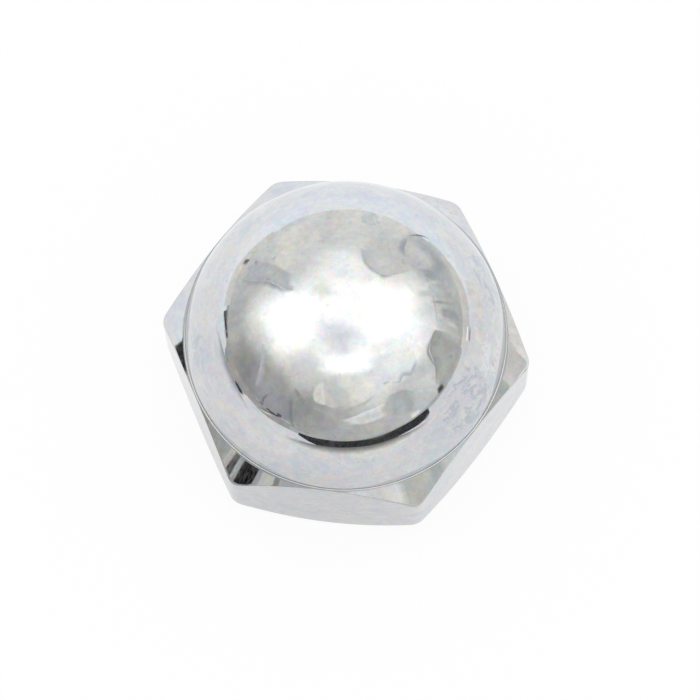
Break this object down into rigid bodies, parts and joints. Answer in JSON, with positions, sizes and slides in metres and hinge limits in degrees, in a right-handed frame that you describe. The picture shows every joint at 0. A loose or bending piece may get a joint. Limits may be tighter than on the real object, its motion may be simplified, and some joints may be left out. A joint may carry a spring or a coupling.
{
  "type": "axle nut",
  "caption": "Domed hexagonal axle nut: screws on a wheel axle's threaded end, clamps what is on the axle and covers the thread.",
  "frame": {"origin": "centre of the bearing face, on the thread's axis", "axes": "+Z along the thread's axis, from the bearing face to the top of the dome; +X through an upright edge of the hexagon; +Y square to a pair of flats"},
  "size_m": [0.0216, 0.019, 0.0152],
  "materials": {
    "chrome_plate": "mirror-polished chrome plate on steel, a little hazed and smeared by handling"
  },
  "bodies": {
    "root": {"axle_nut": "chrome_plate"}
  },
  "joints": []
}
